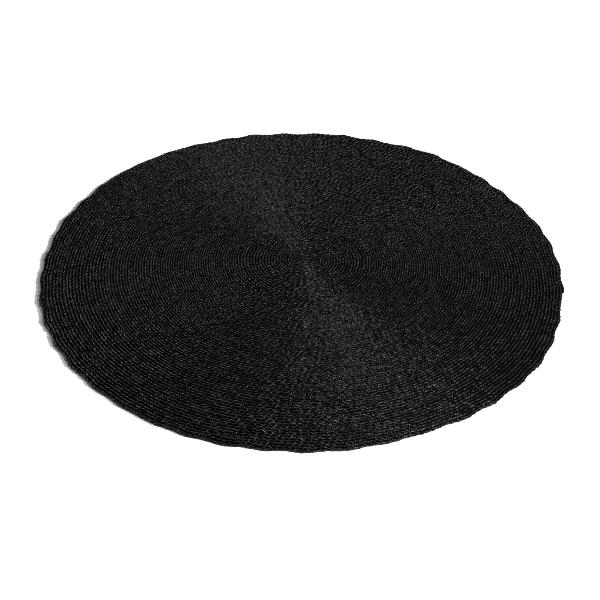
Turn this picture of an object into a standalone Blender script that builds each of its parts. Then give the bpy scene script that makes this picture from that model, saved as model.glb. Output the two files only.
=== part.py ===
"""A round floor rug: one long twisted cord, wound into a flat coil and sewn edge to edge.

The coil is a single solid. Its underside is flat, its top carries the coil as a spiral
rib, and its rim is as uneven as hand-wound cord leaves it. Metres, +Z up, the floor at
Z = 0, and the middle of the underside at the origin.
"""

import math

import bmesh
import bpy
from mathutils import Vector
from mathutils.geometry import delaunay_2d_cdt

NAME = "rug"

# Driving sizes, in metres
RADIUS = 0.600          # mean radius of the outline, for a rug 1.2 m across
THICKNESS = 0.007       # from the floor to the crown of a row, about one cord
GROOVE_DEPTH = 0.0022   # from the crowns down to the grooves between them
SHOULDER_HEIGHT = 0.0056
SHOULDER_DRAW = 0.0014  # how far the rim's top edge lies inside the outline
SIDE_HEIGHT = 0.0034    # where the rim stands out furthest
FOOT_DRAW = 0.0016      # how far the rim's foot lies inside the outline
EYE_OFFSET = 0.005      # the eye of the coil lies this far to the right of the middle

# The cord's outer end, tucked in at the right-hand side
CORD_END = math.radians(349.5)
END_STEP = 0.0045       # the outline steps out by this much past the end
END_TAPER = math.radians(0.7)

# The row widths change on the way out, because the cord does: (outer radius, row width)
ROW_BANDS = (
    (0.155, 0.00690),
    (0.330, 0.00540),
    (0.460, 0.00630),
    (RADIUS, 0.00725),
)
ROWS_PER_RIB = 2        # one rib on the solid stands for two rows of cord

# How far the rim swells out or draws in: (angle in degrees, reach)
RIM_SWELLS = (
    (0, -0.0020),
    (12, 0.0003),
    (30, -0.0026),
    (45, 0.0022),
    (56, 0.0056),
    (73, -0.0030),
    (82, -0.0008),
    (91, -0.0052),
    (104, 0.0004),
    (113, -0.0024),
    (123, 0.0032),
    (146, 0.0044),
    (159, 0.0008),
    (166, 0.0032),
    (177, -0.0026),
    (203, 0.0014),
    (228, 0.0010),
    (255, 0.0040),
    (264, 0.0014),
    (272, 0.0028),
    (293, -0.0020),
    (309, 0.0026),
    (326, 0.0054),
    (343, -0.0003),
    (355, -0.0030),
)
SWELL_FADE = 0.16       # the rows inside this much of the rim follow its swells

# The rim's small waves: (angle, degrees they have slipped round, height crest to hollow)
SCALLOPS = 46
RIM_SCALLOPS = (
    (4, 0.0, 0.0042),
    (22, 0.3, 0.0030),
    (33, -0.3, 0.0060),
    (45, -1.2, 0.0028),
    (58, 0.2, 0.0060),
    (80, 0.9, 0.0058),
    (105, 1.8, 0.0070),
    (120, 1.8, 0.0040),
    (139, 2.8, 0.0014),
    (158, 1.1, 0.0046),
    (178, 0.8, 0.0030),
    (204, 0.0, 0.0044),
    (225, 0.0, 0.0032),
    (243, -0.7, 0.0022),
    (258, -2.1, 0.0042),
    (291, -2.9, 0.0024),
    (304, -2.8, 0.0048),
    (325, -3.5, 0.0036),
    (341, -4.2, 0.0036),
    (352, -1.2, 0.0038),
)
SCALLOP_FADE = 0.07     # and inside this much of it they follow its small waves

# How finely the curves are drawn
MOST_SAG = 0.0009       # a straight stretch of rib leaves its curve by no more than this
FEWEST_PER_TURN = 10
WAVY_TO = 0.045         # ribs this close to the rim are drawn finely enough for its waves
RIB_POINTS = 4 * SCALLOPS
RIM_POINTS = 8 * SCALLOPS

FIBRE_COLOUR = (0.016, 0.016, 0.017, 1.0)
FIBRE_ROUGHNESS = 0.6


def clear_scene():
    for obj in list(bpy.data.objects):
        bpy.data.objects.remove(obj, do_unlink=True)


def rows_in_coil():
    """How many rows of cord lie between the eye and the rim."""
    rows, inner = 0.0, 0.0
    for outer, width in ROW_BANDS:
        rows += (outer - inner) / width
        inner = outer
    return rows


def radius_after(rows):
    """The coil's radius after this many rows of cord, counted from the eye."""
    inner = 0.0
    for outer, width in ROW_BANDS:
        in_band = (outer - inner) / width
        if rows <= in_band:
            return inner + rows * width
        rows -= in_band
        inner = outer
    return RADIUS + rows * ROW_BANDS[-1][1]


def share_past_end(angle):
    """How far round the coil an angle lies from the cord's end, from 0 to 1."""
    return ((angle - CORD_END) % math.tau) / math.tau


def even_rim(angle):
    """The rim with no waves: it draws in steadily, and steps out at the cord's end."""
    past = share_past_end(angle)
    before_end = (1.0 - past) * math.tau
    step = min(1.0, before_end / END_TAPER)
    return RADIUS + END_STEP * (0.5 - past) + END_STEP * (1.0 - step)


def read_round(table, column, degrees):
    """A column of one of the rim's tables, eased from row to row at any angle."""
    rows = [*table, (table[0][0] + 360.0, *table[0][1:])]
    degrees = (degrees - rows[0][0]) % 360.0 + rows[0][0]
    for here, there in zip(rows, rows[1:]):
        if degrees <= there[0]:
            break
    share = (degrees - here[0]) / (there[0] - here[0])
    share = 0.5 - 0.5 * math.cos(math.pi * share)
    return here[column] + share * (there[column] - here[column])


def swell(angle):
    return read_round(RIM_SWELLS, 1, math.degrees(angle))


def scallop(angle):
    degrees = math.degrees(angle)
    slipped = read_round(RIM_SCALLOPS, 1, degrees)
    height = read_round(RIM_SCALLOPS, 2, degrees)
    return 0.5 * height * math.cos(math.radians(SCALLOPS * (degrees - slipped)))


def placed(radius, angle):
    """A point of the even coil, moved to where the uneven rug has it."""
    inside = max(0.0, RADIUS - radius)
    radius += swell(angle) * max(0.0, 1.0 - inside / SWELL_FADE) ** 2
    radius += scallop(angle) * max(0.0, 1.0 - inside / SCALLOP_FADE) ** 2
    eye_share = max(0.0, 1.0 - radius / RADIUS)
    x = radius * math.cos(angle) + EYE_OFFSET * eye_share
    y = radius * math.sin(angle)
    return x, y


def spiral(rows_behind, spare_at_rim):
    """(radius, angle) points along the rib, this many rows further in than its outer edge."""
    turns = rows_in_coil() / ROWS_PER_RIB
    points = []
    turn = 0.5
    while True:
        rows = ROWS_PER_RIB * turn - rows_behind
        radius = radius_after(rows)
        angle = CORD_END + math.tau * (turns - turn)
        if turn > turns or radius > even_rim(angle) - SHOULDER_DRAW - spare_at_rim:
            return points
        points.append((radius, angle))
        sag = min(MOST_SAG / max(radius, MOST_SAG), 1.0)
        step = 2.0 * math.acos(1.0 - sag) / math.tau
        if radius > RADIUS - WAVY_TO:
            step = 1.0 / RIB_POINTS
        turn += min(step, 1.0 / FEWEST_PER_TURN)


def rim_angles():
    """The angles of the rim's points, with two at the cord's end to draw its step."""
    first = CORD_END
    spaced = [first + math.tau * i / RIM_POINTS for i in range(RIM_POINTS)]
    return spaced + [first + math.tau - END_TAPER]


def top_face(bm):
    """The ribbed top, triangulated between the rib's crown, its groove and the rim."""
    rim = [(even_rim(a) - SHOULDER_DRAW, a, SHOULDER_HEIGHT) for a in rim_angles()]
    crown = [(r, a, THICKNESS) for r, a in spiral(1, 0.0030)]
    groove = [(r, a, THICKNESS - GROOVE_DEPTH) for r, a in spiral(0, 0.0045)]

    points = rim + crown + groove
    edges = [(i, (i + 1) % len(rim)) for i in range(len(rim))]
    for line, start in ((crown, len(rim)), (groove, len(rim) + len(crown))):
        edges += [(start + i, start + i + 1) for i in range(len(line) - 1)]

    flat = [Vector((r * math.cos(a), r * math.sin(a))) for r, a, _ in points]
    inside_the_rim = 1
    found, _, faces, sources, _, _ = delaunay_2d_cdt(flat, edges, [], inside_the_rim, 1e-6)

    verts = []
    for source in sources:
        radius, angle, height = points[source[0]]
        verts.append(bm.verts.new((*placed(radius, angle), height)))
    for face in faces:
        bm.faces.new([verts[i] for i in face])
    if len(found) != len(points):
        raise ValueError("the rib's lines cross each other or the rim")


def drawn_out(bm, edges, distance, height):
    """Extrudes the rim's edges outwards by a distance to a height, and gives the new edges."""
    made = bmesh.ops.extrude_edge_only(bm, edges=edges)["geom"]
    for vert in (item for item in made if isinstance(item, bmesh.types.BMVert)):
        outward = Vector((vert.co.x, vert.co.y, 0.0)).normalized()
        vert.co += outward * distance
        vert.co.z = height
    return [item for item in made if isinstance(item, bmesh.types.BMEdge)]


def side_and_underside(bm):
    """The rim's rounded side, down to the floor, and the flat face that lies on it."""
    rim = [edge for edge in bm.edges if edge.is_boundary]
    side = drawn_out(bm, rim, SHOULDER_DRAW, SIDE_HEIGHT)
    side = [edge for edge in side if edge.is_boundary]
    foot = drawn_out(bm, side, -FOOT_DRAW, 0.0)
    foot = [edge for edge in foot if edge.is_boundary]
    bmesh.ops.contextual_create(bm, geom=foot)


def fibre_material():
    material = bpy.data.materials.new("black_plant_fibre")
    material.use_nodes = True
    shader = material.node_tree.nodes["Principled BSDF"]
    shader.inputs["Base Color"].default_value = FIBRE_COLOUR
    shader.inputs["Roughness"].default_value = FIBRE_ROUGHNESS
    shader.inputs["Metallic"].default_value = 0.0
    return material


def make_rug(collection):
    bm = bmesh.new()
    top_face(bm)
    side_and_underside(bm)
    bmesh.ops.recalc_face_normals(bm, faces=bm.faces)
    mesh = bpy.data.meshes.new(NAME)
    bm.to_mesh(mesh)
    bm.free()
    mesh.materials.append(fibre_material())
    rug = bpy.data.objects.new(NAME, mesh)
    collection.objects.link(rug)
    return rug


def main():
    clear_scene()
    collection = bpy.data.collections.new("round_rug")
    bpy.context.scene.collection.children.link(collection)
    make_rug(collection)


main()
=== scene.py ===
"""Looks of the round rug: twisted black plant-fibre cord, coiled from its eye and sewn flat.

The coil is modelled as the cord itself. Each row has its two plies, their twist, their
uneven lay and the rim's waves, in five lengths of cord from the eye out to the rim.
Metres, +Z up, the floor at Z = 0.
"""

import math

import bmesh
import bpy
import numpy as np
from mathutils import Matrix, Vector

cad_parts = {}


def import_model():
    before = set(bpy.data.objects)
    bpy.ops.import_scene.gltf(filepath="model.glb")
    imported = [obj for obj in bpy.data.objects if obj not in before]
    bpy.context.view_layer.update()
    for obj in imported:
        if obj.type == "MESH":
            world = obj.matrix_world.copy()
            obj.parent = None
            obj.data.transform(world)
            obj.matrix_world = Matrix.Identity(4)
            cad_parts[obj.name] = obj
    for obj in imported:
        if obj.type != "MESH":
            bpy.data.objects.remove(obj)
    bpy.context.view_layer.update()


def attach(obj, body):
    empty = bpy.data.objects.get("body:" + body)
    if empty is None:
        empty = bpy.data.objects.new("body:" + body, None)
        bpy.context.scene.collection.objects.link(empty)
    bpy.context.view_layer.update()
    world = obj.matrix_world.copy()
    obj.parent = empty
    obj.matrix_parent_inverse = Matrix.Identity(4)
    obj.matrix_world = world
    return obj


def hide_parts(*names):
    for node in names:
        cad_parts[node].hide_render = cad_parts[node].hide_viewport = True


# The coil, with the same sizes as the solid
RADIUS = 0.600          # mean radius of the outline
THICKNESS = 0.007       # about one cord
EYE_OFFSET = 0.005      # the eye of the coil lies this far to the right of the middle
CORD_END = math.radians(349.5)
END_STEP = 0.0045       # the outline steps out by this much past the cord's outer end

# Width of a row of cord at a distance from the eye: (distance, width)
ROW_WIDTHS = (
    (0.000, 0.00600),
    (0.060, 0.00650),
    (0.150, 0.00740),
    (0.160, 0.00550),
    (0.320, 0.00540),
    (0.335, 0.00610),
    (0.455, 0.00650),
    (0.465, 0.00720),
    (0.610, 0.00730),
)
RIM_ROW = ROW_WIDTHS[-1][1]
# The last row narrows to END_STEP at the cord's end, so an even coil would be this large
COIL_RADIUS = RADIUS - END_STEP / 2 + RIM_ROW

# How far the rim swells out or draws in: (angle in degrees, reach)
RIM_SWELLS = (
    (0, -0.0020),
    (12, 0.0003),
    (30, -0.0026),
    (45, 0.0022),
    (56, 0.0056),
    (73, -0.0030),
    (82, -0.0008),
    (91, -0.0052),
    (104, 0.0004),
    (113, -0.0024),
    (123, 0.0032),
    (146, 0.0044),
    (159, 0.0008),
    (166, 0.0032),
    (177, -0.0026),
    (203, 0.0014),
    (228, 0.0010),
    (255, 0.0040),
    (264, 0.0014),
    (272, 0.0028),
    (293, -0.0020),
    (309, 0.0026),
    (326, 0.0054),
    (343, -0.0003),
    (355, -0.0030),
)
SWELL_FADE = 0.16       # the rows inside this much of the rim follow its swells

# The rim's small waves: (angle, degrees they have slipped round, height crest to hollow)
SCALLOPS = 46
RIM_SCALLOPS = (
    (4, 0.0, 0.0042),
    (22, 0.3, 0.0030),
    (33, -0.3, 0.0060),
    (45, -1.2, 0.0028),
    (58, 0.2, 0.0060),
    (80, 0.9, 0.0058),
    (105, 1.8, 0.0070),
    (120, 1.8, 0.0040),
    (139, 2.8, 0.0014),
    (158, 1.1, 0.0046),
    (178, 0.8, 0.0030),
    (204, 0.0, 0.0044),
    (225, 0.0, 0.0032),
    (243, -0.7, 0.0022),
    (258, -2.1, 0.0042),
    (291, -2.9, 0.0024),
    (304, -2.8, 0.0048),
    (325, -3.5, 0.0036),
    (341, -4.2, 0.0036),
    (352, -1.2, 0.0038),
)
SCALLOP_FADE = 0.07     # and inside this much of it they follow its small waves

# The cord
LAY = 0.0246            # one full turn of its two plies round each other
EYE_LAY = 0.0300        # the lay at the eye, where the cord is looser
LAY_EVENS_OUT = 0.12    # distance from the eye at which it reaches LAY
CORNERS = 8             # of the cord's section
STATIONS_PER_LAY = CORNERS    # the section turns by one corner from station to station
SIDE_SPREAD = 0.535     # half of the cord's width, as a share of its row's width
PLY_SHOULDER = (0.84, 0.91)   # the section between crest and valley, upright and sideways
PLY_VALLEY = (0.48, 0.70)     # the valley between the plies, upright and sideways
FLAT_TOP = 0.42         # how far the twist slows while a ply lies on top, in radians
FIRST_ROW = 0.8         # the cord starts this many rows from the middle of the eye
BLUNT_END = 0.012       # its outer end tapers over this length
TIP_AREA = 0.02         # the share of its section that is left at the tip
SHADE_AND_GLOSS_FROM = 0.35       # painted shade and gloss are measured from this share of its half height up; lower down the cord is painted darkest, as shade
LENGTHS = ("eye", "inner", "middle", "outer", "rim")

# How uneven the cord is: (height of the unevenness, length of it along the cord, seed)
FATNESS = (0.10, 0.045, 13)     # share of its thickness
WANDER = (0.00022, 0.060, 12)   # sideways
LIFT = (0.00030, 0.050, 14)     # up off the floor
SLIP = (0.30, 0.080, 11)        # of its twist, in stations
LAY_DRIFT = (0.16, 0.10, 16)    # share of its lay
UNEVEN_BUMPS = 0.45     # how much one bump may stand over another, as a share of its reach
EVEN_LUCK = 0.6         # a bump with this luck is as large as the plain section
BUMP_SEED = 15

# How finely the coil is worked out before the cord's stations are placed on it
TABLE_PLACES = 6200     # distances from the eye
TABLE_MARGIN = 0.01     # the table runs this far past the rim
LINE_PLACES = 60000     # places along the cord
SAME_PLACE = 1e-6       # points closer than this are one

# The cord's second map has it in lines on a square
MAP_LINES = 42
MAP_MARGIN = 0.06       # share of a line's height that stays empty on either side of it

# Patterns of the fibre: (changes for each metre in each direction, fineness of detail)
STRANDS = ((110.0, 26.0, 1.0), 2.0)     # for each metre of cord and each turn round it
TUFTS = ((80.0, 80.0, 80.0), 0.0)
GLOSS_PATCHES = ((170.0, 170.0, 170.0), 1.0)
AGEING = ((7.0, 7.0, 7.0), 3.0)
THREADS = ((900.0, 900.0, 900.0), 2.0)
STRAND_RELIEF = 0.0001
TUFT_RELIEF = 0.0046

# How each pattern tells: (its value from and to, the share of tone or gloss left from and to)
TUFT_TONE = (0.35, 0.65, 0.45, 1.0)
AGE_TONE = (0.30, 0.70, 0.60, 1.0)
# Painted shade: the cord's low parts, its flanks and the grooves between plies and rows are
# painted darker than its crests
PAINTED_SHADE_TONE = (0.35, 0.95, 0.0, 1.0)
LUCK_TONE = (0.0, 1.0, 0.08, 1.0)
PATCH_GLOSS = (0.38, 0.62, 0.40, 1.0)
LUCK_GLOSS = (0.0, 1.0, 0.15, 1.0)
PROUD_GLOSS = (0.20, 0.90, 0.0, 1.0)

# The fibre's colours, the darkest also the painted shade on the cord's low parts, and its gloss
DARKEST_FIBRE_AND_SHADE = (0.001, 0.001, 0.001, 1.0)
PALEST_FIBRE = (0.022, 0.022, 0.0225, 1.0)
DULL_TO_GLOSSY = (0.0, 1.0, 0.29, 0.18)     # gloss, and the roughness that it gives
SHINE = 0.31
ALONG_FIBRES = 0.4      # how much narrower the gloss is along the cord
ACROSS = 0.25           # the share of a turn from along the cord to across it

# The seams between the rows: sewing thread and packed fibre down between the cords, coloured
# darker than the cord's fibre as painted shade in the grooves
SEAM_TOP = 0.0026
SEAM_DEPTH = 0.0014
SEAM_MARGIN = 0.0034    # they end this far inside the outline
SEAM_SEGMENTS = 288     # round the rug
SEAM_RINGS = 20         # from its middle to the rim
# Darker than the cord's fibre: painted shade down in the grooves between the rows
DARKEST_THREAD_AND_SHADE = (0.001, 0.001, 0.001, 1.0)
PALEST_THREAD_AND_SHADE = (0.006, 0.006, 0.006, 1.0)
THREAD_FINISH = {"Roughness": 0.85, "Specular IOR Level": 0.1}

# The camera, at the photograph's angle
CAMERA_AT = (-0.0034, -1.876, 1.389)
CAMERA_DOWN = math.radians(38.71)
CAMERA_ROLL = math.radians(1.0)
CAMERA_LENS = 59.9
SENSOR_WIDTH = 36.0
PIXEL_FILTER = 0.9      # in pixels, narrow enough for the photograph's crispness

# Distant lamps: (name, azimuth, elevation, strength, apparent size, seen in gloss)
LAMPS = (
    ("side_lamp", -14, 25, 6.3, 7, False),
    ("back_softbox", 95, 38, 0.50, 20, True),
    ("far_left_softbox", 148, 36, 0.45, 12, True),
)
# The softbox to the right of the camera
FRONT_LAMP_AT = (0.80, -1.11, 1.12)
FRONT_LAMP_POWER = 14.0
FRONT_LAMP_SIZE = 0.15
SKY = 0.06

# The floor, and the white wall that stands far round the rug
WHITE = (1.0, 1.0, 1.0, 1.0)
BLACK = (0.0, 0.0, 0.0, 1.0)
FLOOR_REACH = 40.0
FLOOR_GAP = 0.0002      # the floor lies this far under the rug
FLOOR_FINISH = {
    "Base Color": (0.93, 0.93, 0.93, 1.0),
    "Roughness": 0.9,
    "Specular IOR Level": 0.1,
}
WALL_AWAY = 38.0
WALL_HEIGHT = 80.0
WALL_SIDES = 96
WALL_FINISH = {
    "Base Color": BLACK,
    "Specular IOR Level": 0.0,
    "Emission Color": WHITE,
    "Emission Strength": 1.0,
}


def rows_table():
    """Distances from the eye, and how many rows lie inside each."""
    distance = np.linspace(0.0, COIL_RADIUS + TABLE_MARGIN, TABLE_PLACES)
    width = np.interp(distance, *np.transpose(ROW_WIDTHS))
    steps = np.diff(distance) * 0.5 * (1.0 / width[1:] + 1.0 / width[:-1])
    return distance, np.concatenate([[0.0], np.cumsum(steps)])


DISTANCE, ROWS_INSIDE = rows_table()
ALL_ROWS = float(np.interp(COIL_RADIUS, DISTANCE, ROWS_INSIDE))


def radius_after(rows):
    """The coil's radius after so many rows of cord, counted from the eye."""
    return np.interp(rows, ROWS_INSIDE, DISTANCE)


def drift(places, unevenness):
    """Smooth unevenness at places along the cord, up or down by about its height."""
    height, length, seed = unevenness
    rng = np.random.default_rng(seed)
    knots = np.arange(-2, places[-1] / length + 3)
    heights = rng.uniform(-1.0, 1.0, len(knots))
    at = places / length + 2.0
    i = at.astype(int)
    t = at - i
    ease = t * t * (3.0 - 2.0 * t)
    return height * (heights[i] * (1.0 - ease) + heights[i + 1] * ease)


def read_round(table, column, degrees):
    """A column of one of the rim's tables, eased from row to row at any angle."""
    places = np.array([row[0] for row in table] + [table[0][0] + 360.0])
    values = np.array([row[column] for row in table] + [table[0][column]])
    degrees = (degrees - places[0]) % 360.0 + places[0]
    here = np.clip(np.searchsorted(places, degrees) - 1, 0, len(table) - 1)
    share = (degrees - places[here]) / (places[here + 1] - places[here])
    share = 0.5 - 0.5 * np.cos(np.pi * share)
    return values[here] + share * (values[here + 1] - values[here])


def swell(angle):
    """How far the rim swells out at an angle, or draws in."""
    return read_round(RIM_SWELLS, 1, np.degrees(angle))


def scallop(angle):
    """How far the rim's small waves stand out at an angle."""
    degrees = np.degrees(angle)
    slipped = read_round(RIM_SCALLOPS, 1, degrees)
    height = read_round(RIM_SCALLOPS, 2, degrees)
    return 0.5 * height * np.cos(np.radians(SCALLOPS * (degrees - slipped)))


def placed(radius, angle):
    """Points of the even coil, moved to where the uneven rug has them."""
    inside = np.maximum(0.0, RADIUS - radius)
    radius = radius + swell(angle) * np.maximum(0.0, 1.0 - inside / SWELL_FADE) ** 2
    radius = radius + scallop(angle) * np.maximum(0.0, 1.0 - inside / SCALLOP_FADE) ** 2
    eye_share = np.maximum(0.0, 1.0 - radius / RADIUS)
    x = radius * np.cos(angle) + EYE_OFFSET * eye_share
    return x, radius * np.sin(angle)


def cord_line():
    """The cord's stations, from the eye outwards: rows behind each, and length behind it."""
    rows = np.linspace(FIRST_ROW, ALL_ROWS, LINE_PLACES)
    radius = radius_after(rows - 0.5)
    turn = 2.0 * np.pi * np.gradient(rows)
    travelled = np.cumsum(np.hypot(radius * turn, np.gradient(radius)))
    lay = np.interp(radius, (0.0, LAY_EVENS_OUT), (EYE_LAY, LAY))
    lay = lay * (1.0 + drift(travelled, LAY_DRIFT))
    twisted = np.cumsum(np.gradient(travelled) / lay) * STATIONS_PER_LAY
    stations = np.arange(0, int(twisted[-1]))
    slip = drift(stations * LAY / STATIONS_PER_LAY, SLIP)
    rows = np.interp(stations + slip, twisted, rows)
    along = np.interp(stations + slip, twisted, travelled)
    return rows, along


def cord_stations():
    """Where the cord's middle lies at every station, and its half width and half height."""
    rows, along = cord_line()
    inner_edge = radius_after(rows - 1.0)
    inner_edge[rows < 1.0] = 0.0
    outer_edge = radius_after(rows)
    in_last_row = np.clip(ALL_ROWS - rows, 0.0, 1.0)
    narrowing = END_STEP + (RIM_ROW - END_STEP) * in_last_row
    outer_edge = np.where(in_last_row < 1.0, inner_edge + narrowing, outer_edge)
    width = outer_edge - inner_edge
    fatness = 1.0 + drift(along, FATNESS)
    half_height = 0.25 * (THICKNESS + width) * fatness
    to_end = (along[-1] - along) / BLUNT_END
    blunt = np.sqrt(np.clip(to_end * (2.0 - to_end), TIP_AREA, 1.0))
    blunt[to_end > 1.0] = 1.0
    return {
        "angle": CORD_END + 2.0 * np.pi * (ALL_ROWS - rows),
        "radius": 0.5 * (inner_edge + outer_edge) + drift(along, WANDER),
        "half_width": SIDE_SPREAD * width * fatness * blunt,
        "half_height": half_height * blunt,
        "middle": half_height + np.abs(drift(along, LIFT)),
        "along": along,
    }


def luck_of_bumps(station, corner):
    """A number from 0 to 1 for each bump in a length of cord, the same all over the bump."""
    quarter = CORNERS // 4
    second_ply = np.abs(corner % CORNERS - 2 * quarter) < quarter
    on_top = station + np.where(second_ply, quarter, -quarter)
    bump = np.rint(on_top / STATIONS_PER_LAY).astype(int) + 1
    luck = np.random.default_rng(BUMP_SEED).random((2, bump.max() + 1))
    return luck[second_ply.astype(int), bump]


def section_points(cord, station, corner):
    """Where a corner of the cord's section lies at a station, and the share of its height that
    sets painted shade and gloss.
    """
    one_corner = 2.0 * np.pi / CORNERS
    slowing = FLAT_TOP * np.sin(2.0 * one_corner * station)
    facing = one_corner * (corner + station) + slowing
    upright = np.sin(facing) ** 2
    shoulder = PLY_SHOULDER[1] + (PLY_SHOULDER[0] - PLY_SHOULDER[1]) * upright
    valley = PLY_VALLEY[1] + (PLY_VALLEY[0] - PLY_VALLEY[1]) * upright
    from_crest = corner % (CORNERS // 2)
    reach = np.where(from_crest == CORNERS // 4, valley, shoulder)
    reach = np.where(from_crest == 0, 1.0, reach)
    reach = reach * (1.0 + UNEVEN_BUMPS * (luck_of_bumps(station, corner) - EVEN_LUCK))

    half_height = cord["half_height"][station]
    sideways = cord["half_width"][station] * reach * np.cos(facing)
    height = half_height * reach * np.sin(facing)
    x, y = placed(cord["radius"][station] + sideways, cord["angle"][station])
    z = np.maximum(cord["middle"][station] + height, 0.0)
    # The share of its height: the material paints shade where the cord is low, and makes it
    # glossier where it is high
    shade_and_gloss_height = (height / half_height - SHADE_AND_GLOSS_FROM) / (1.0 - SHADE_AND_GLOSS_FROM)
    return np.stack([x, y, z], axis=1), np.clip(shade_and_gloss_height, 0.0, 1.0)


def written(bm, name):
    """A finished bmesh as a mesh."""
    mesh = bpy.data.meshes.new(name)
    bm.to_mesh(mesh)
    bm.free()
    return mesh


def added(name, data):
    """A new object in the scene, with this mesh, lamp or lens."""
    made = bpy.data.objects.new(name, data)
    bpy.context.scene.collection.objects.link(made)
    return made


def flat_strip(name, steps):
    """A flat strip of faces to roll into a tube, and the corner and station of its points."""
    bm = bmesh.new()
    bmesh.ops.create_grid(bm, x_segments=CORNERS, y_segments=steps, size=1.0)
    strip = written(bm, name)
    places = np.empty(len(strip.vertices) * 3)
    strip.vertices.foreach_get("co", places)
    across, along = 0.5 * (places.reshape(-1, 3)[:, :2].T + 1.0)
    corner = np.rint(across * CORNERS).astype(int)
    station = np.rint(along * steps).astype(int)
    return strip, corner, station


def mark_points(mesh, name, values):
    """Gives each point of a mesh a number that its material reads."""
    marks = mesh.attributes.new(name, "FLOAT", "POINT")
    marks.data.foreach_set("value", values.astype(np.float32))


def lay_out(mesh, name, along, up):
    """Gives a mesh a map with this name."""
    pairs = np.stack([along, up], axis=1)
    layer = mesh.uv_layers.new(name=name)
    layer.uv.foreach_set("vector", pairs.astype(np.float32).ravel())


def lay_out_cord(mesh, cord, corner, station):
    """Two maps: the cord run out straight, in metres, and the same in lines on a square."""
    loops = np.empty(len(mesh.loops), dtype=np.int32)
    mesh.loops.foreach_get("vertex_index", loops)
    around = corner[loops] / CORNERS
    lay_out(mesh, "cord", cord["along"][station[loops]], around)

    step = (station - station.min())[loops]
    per_line = math.ceil(step.max() / MAP_LINES)
    line = np.repeat(step.reshape(-1, 4).min(axis=1) // per_line, 4)
    across = (step - line * per_line) / per_line
    up = (line + MAP_MARGIN + (1.0 - 2.0 * MAP_MARGIN) * around) / MAP_LINES
    lay_out(mesh, "OFBake", across, up)


def close_tube(mesh):
    """Joins the long edges of a rolled strip, and caps the tube's two ends."""
    bm = bmesh.new()
    bm.from_mesh(mesh)
    edge_points = [vert for vert in bm.verts if vert.is_boundary]
    bmesh.ops.remove_doubles(bm, verts=edge_points, dist=SAME_PLACE)
    open_ends = [edge for edge in bm.edges if edge.is_boundary]
    bmesh.ops.holes_fill(bm, edges=open_ends, sides=0)
    bmesh.ops.recalc_face_normals(bm, faces=bm.faces)
    bm.to_mesh(mesh)
    bm.free()


def cord_length(name, cord, first, last, material):
    """One length of the coiled cord, between two stations, as a closed twisted tube."""
    mesh, corner, station = flat_strip(name, last - first)
    station = station + first
    points, shade_and_gloss_height = section_points(cord, station, corner)
    mesh.vertices.foreach_set("co", points.ravel())
    # The height share, by which the material paints shade on the cord's low parts
    mark_points(mesh, "shade_and_gloss_height", shade_and_gloss_height)
    mark_points(mesh, "luck", luck_of_bumps(station, corner))
    lay_out_cord(mesh, cord, corner, station)
    close_tube(mesh)
    mesh.shade_smooth()
    mesh.materials.append(material)
    return added(name, mesh)


def coiled_cord(material):
    """The whole coil, in its lengths of cord."""
    cord = cord_stations()
    ends = np.linspace(0, len(cord["along"]) - 1, len(LENGTHS) + 1).astype(int)
    pieces = []
    for name, first, last in zip(LENGTHS, ends[:-1], ends[1:]):
        piece = cord_length(f"cord_{name}", cord, int(first), int(last), material)
        pieces.append(piece)
    return pieces


def new_material(name):
    """A material, its tree of nodes and its shader."""
    material = bpy.data.materials.new(name)
    material.use_nodes = True
    tree = material.node_tree
    return material, tree, tree.nodes["Principled BSDF"]


def set_sockets(made, values):
    """Sets a node's own sockets, by name."""
    for name, value in values.items():
        made.inputs[name].default_value = value


def node(tree, kind, **settings):
    """A new node of a kind, with its settings."""
    made = tree.nodes.new(kind)
    for key, value in settings.items():
        setattr(made, key, value)
    return made


def noise(tree, place, scale, detail, dimensions="3D"):
    """Noise over a place that is stretched by a scale for each direction."""
    stretch = node(tree, "ShaderNodeMapping")
    set_sockets(stretch, {"Scale": scale})
    tree.links.new(place, stretch.inputs["Vector"])
    made = node(tree, "ShaderNodeTexNoise", noise_dimensions=dimensions)
    set_sockets(made, {"Scale": 1.0, "Detail": detail})
    tree.links.new(stretch.outputs["Vector"], made.inputs["Vector"])
    return made.outputs["Fac"]


def between(tree, value, ranges):
    """A value spread evenly from its own range to another."""
    spread = node(tree, "ShaderNodeMapRange")
    names = ("From Min", "From Max", "To Min", "To Max")
    set_sockets(spread, dict(zip(names, ranges)))
    tree.links.new(value, spread.inputs["Value"])
    return spread.outputs["Result"]


def together(tree, *patterns):
    """What several patterns leave of a tone or gloss, one after another."""
    left = None
    for pattern, ranges in patterns:
        share = between(tree, pattern, ranges)
        if left is not None:
            product = node(tree, "ShaderNodeMath", operation="MULTIPLY")
            tree.links.new(left, product.inputs[0])
            tree.links.new(share, product.inputs[1])
            share = product.outputs["Value"]
        left = share
    return left


def shaded(tree, tone, darkest, palest):
    """A colour from the darkest to the palest, by tone."""
    ramp = node(tree, "ShaderNodeValToRGB")
    ramp.color_ramp.elements[0].color = darkest
    ramp.color_ramp.elements[1].color = palest
    tree.links.new(tone, ramp.inputs["Fac"])
    return ramp.outputs["Color"]


def raised(tree, pattern, relief, over=None):
    """A pattern that stands out by a relief, over a coarser one where there is one."""
    bump = node(tree, "ShaderNodeBump")
    set_sockets(bump, {"Strength": 1.0, "Distance": relief})
    tree.links.new(pattern, bump.inputs["Height"])
    if over is not None:
        tree.links.new(over, bump.inputs["Normal"])
    return bump.outputs["Normal"]


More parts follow.
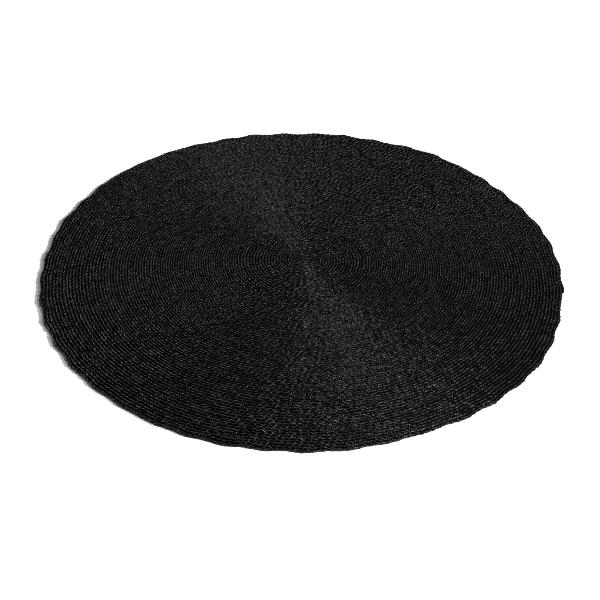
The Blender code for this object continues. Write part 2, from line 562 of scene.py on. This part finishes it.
def fibre_material():
    """Black plant fibre: strands along the plies, glossy here and dull there, with painted
    shade on its low parts down between the plies and rows.
    """
    material, tree, shader = new_material("black_plant_fibre")
    link = tree.links.new
    run = node(tree, "ShaderNodeUVMap", uv_map="cord").outputs["UV"]
    place = node(tree, "ShaderNodeTexCoord").outputs["Object"]
    strands = noise(tree, run, *STRANDS, dimensions="2D")
    tufts = noise(tree, place, *TUFTS)
    patches = noise(tree, place, *GLOSS_PATCHES)
    aged = noise(tree, place, *AGEING)
    # The height share paints shade: the cord's low parts go darkest
    shade_and_gloss_height = node(tree, "ShaderNodeAttribute", attribute_name="shade_and_gloss_height").outputs["Fac"]
    luck = node(tree, "ShaderNodeAttribute", attribute_name="luck").outputs["Fac"]

    tones = ((tufts, TUFT_TONE), (aged, AGE_TONE), (shade_and_gloss_height, PAINTED_SHADE_TONE), (luck, LUCK_TONE))
    colour = shaded(tree, together(tree, *tones), DARKEST_FIBRE_AND_SHADE, PALEST_FIBRE)
    link(colour, shader.inputs["Base Color"])

    glosses = ((patches, PATCH_GLOSS), (luck, LUCK_GLOSS), (shade_and_gloss_height, PROUD_GLOSS))
    roughness = between(tree, together(tree, *glosses), DULL_TO_GLOSSY)
    link(roughness, shader.inputs["Roughness"])

    relief = raised(tree, tufts, TUFT_RELIEF)
    relief = raised(tree, strands, STRAND_RELIEF, over=relief)
    link(relief, shader.inputs["Normal"])

    shader.inputs["Specular IOR Level"].default_value = SHINE
    shader.inputs["Anisotropic"].default_value = ALONG_FIBRES
    shader.inputs["Anisotropic Rotation"].default_value = ACROSS
    along = node(tree, "ShaderNodeTangent", direction_type="UV_MAP", uv_map="cord")
    link(along.outputs["Tangent"], shader.inputs["Tangent"])
    return material


def seam_material():
    """Dull black thread and packed fibre down between the rows, darker than the cord's fibre as
    painted shade in the grooves.
    """
    material, tree, shader = new_material("black_seam_thread_and_shade")
    place = node(tree, "ShaderNodeTexCoord").outputs["Object"]
    threads = noise(tree, place, *THREADS)
    colour = shaded(tree, threads, DARKEST_THREAD_AND_SHADE, PALEST_THREAD_AND_SHADE)
    tree.links.new(colour, shader.inputs["Base Color"])
    set_sockets(shader, THREAD_FINISH)
    return material


def even_rim(angle):
    """The rim with no waves, which draws in steadily from the cord's end all the way round."""
    past = ((angle - CORD_END) % math.tau) / math.tau
    return RADIUS + END_STEP * (0.5 - past)


def seams_and_groove_shade():
    """One thin sheet low down in the whole coil, which shows only between the rows."""
    bm = bmesh.new()
    bmesh.ops.create_grid(bm, x_segments=SEAM_SEGMENTS, y_segments=SEAM_RINGS, size=1.0)
    for vert in bm.verts:
        angle = math.pi * (vert.co.x + 1.0)
        reach = (vert.co.y + 1.0) / 2.0 * (even_rim(angle) - SEAM_MARGIN)
        x, y = placed(np.array([reach]), np.array([angle]))
        vert.co = (x[0], y[0], SEAM_TOP)
    bmesh.ops.remove_doubles(bm, verts=bm.verts, dist=SAME_PLACE)
    bmesh.ops.recalc_face_normals(bm, faces=bm.faces)
    if sum(face.normal.z for face in bm.faces) < 0.0:
        bmesh.ops.reverse_faces(bm, faces=bm.faces)
    bmesh.ops.solidify(bm, geom=bm.faces[:], thickness=SEAM_DEPTH)
    mesh = written(bm, "seams_and_groove_shade")
    mesh.materials.append(seam_material())
    return added("seams_and_groove_shade", mesh)


def rug():
    """The coil and its seams, which stand for the solid and lie on the floor as one sheet."""
    cords = coiled_cord(fibre_material())
    seams = seams_and_groove_shade()
    for piece in [seams, *cords]:
        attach(piece, "root")
        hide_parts("rug")


def floor():
    """A plain pale floor."""
    bm = bmesh.new()
    bmesh.ops.create_grid(bm, x_segments=1, y_segments=1, size=FLOOR_REACH)
    mesh = written(bm, "floor")
    material, _, shader = new_material("pale_floor")
    set_sockets(shader, FLOOR_FINISH)
    mesh.materials.append(material)
    laid = added("floor", mesh)
    laid.location.z = -FLOOR_GAP


def backdrop():
    """A white wall far round the rug, for low views. It neither lights nor shades anything."""
    bm = bmesh.new()
    bmesh.ops.create_cone(
        bm,
        cap_ends=False,
        segments=WALL_SIDES,
        radius1=WALL_AWAY,
        radius2=WALL_AWAY,
        depth=WALL_HEIGHT,
    )
    mesh = written(bm, "backdrop")
    material, _, shader = new_material("white_wall")
    set_sockets(shader, WALL_FINISH)
    mesh.materials.append(material)
    wall = added("backdrop", mesh)
    wall.visible_diffuse = False
    wall.visible_glossy = False
    wall.visible_transmission = False
    wall.visible_volume_scatter = False
    wall.visible_shadow = False


def aim_at_rug(stand, direction):
    """Turns a lamp so that it shines on the rug from a direction."""
    stand.rotation_euler = Vector(direction).to_track_quat("Z", "Y").to_euler()


def distant_lamps():
    """The lamp at the side and the softboxes behind, too far away for their place to matter."""
    for name, azimuth, elevation, strength, size, in_gloss in LAMPS:
        lamp = bpy.data.lights.new(name, "SUN")
        lamp.energy = strength
        lamp.angle = math.radians(size)
        stand = added(name, lamp)
        turn = math.radians(azimuth)
        rise = math.radians(elevation)
        x = math.cos(turn) * math.cos(rise)
        y = math.sin(turn) * math.cos(rise)
        aim_at_rug(stand, (x, y, math.sin(rise)))
        stand.visible_glossy = in_gloss


def front_softbox():
    """The small softbox that stands near the camera."""
    lamp = bpy.data.lights.new("front_softbox", "AREA")
    lamp.energy = FRONT_LAMP_POWER
    lamp.size = FRONT_LAMP_SIZE
    stand = added("front_softbox", lamp)
    stand.location = FRONT_LAMP_AT
    aim_at_rug(stand, FRONT_LAMP_AT)


def studio():
    """Faint light from all round, and plain tones in a crisp picture."""
    world = bpy.data.worlds.new("studio")
    world.use_nodes = True
    set_sockets(world.node_tree.nodes["Background"], {"Color": WHITE, "Strength": SKY})
    scene = bpy.context.scene
    scene.world = world
    scene.view_settings.view_transform = "Standard"
    scene.cycles.use_denoising = False
    scene.cycles.filter_width = PIXEL_FILTER


def camera():
    """The camera, tilted down at the rug and rolled a little."""
    lens = bpy.data.cameras.new("camera")
    lens.lens = CAMERA_LENS
    lens.sensor_width = SENSOR_WIDTH
    stand = added("camera", lens)
    tilt = Matrix.Rotation(math.radians(90) - CAMERA_DOWN, 4, "X")
    roll = Matrix.Rotation(CAMERA_ROLL, 4, "Z")
    stand.matrix_world = Matrix.Translation(CAMERA_AT) @ tilt @ roll
    bpy.context.scene.camera = stand


def main():
    """The rug in a plain studio, with the sizes of its solid and its looks written out."""
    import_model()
    camera()
    rug()
    floor()
    backdrop()
    distant_lamps()
    front_softbox()
    studio()


main()
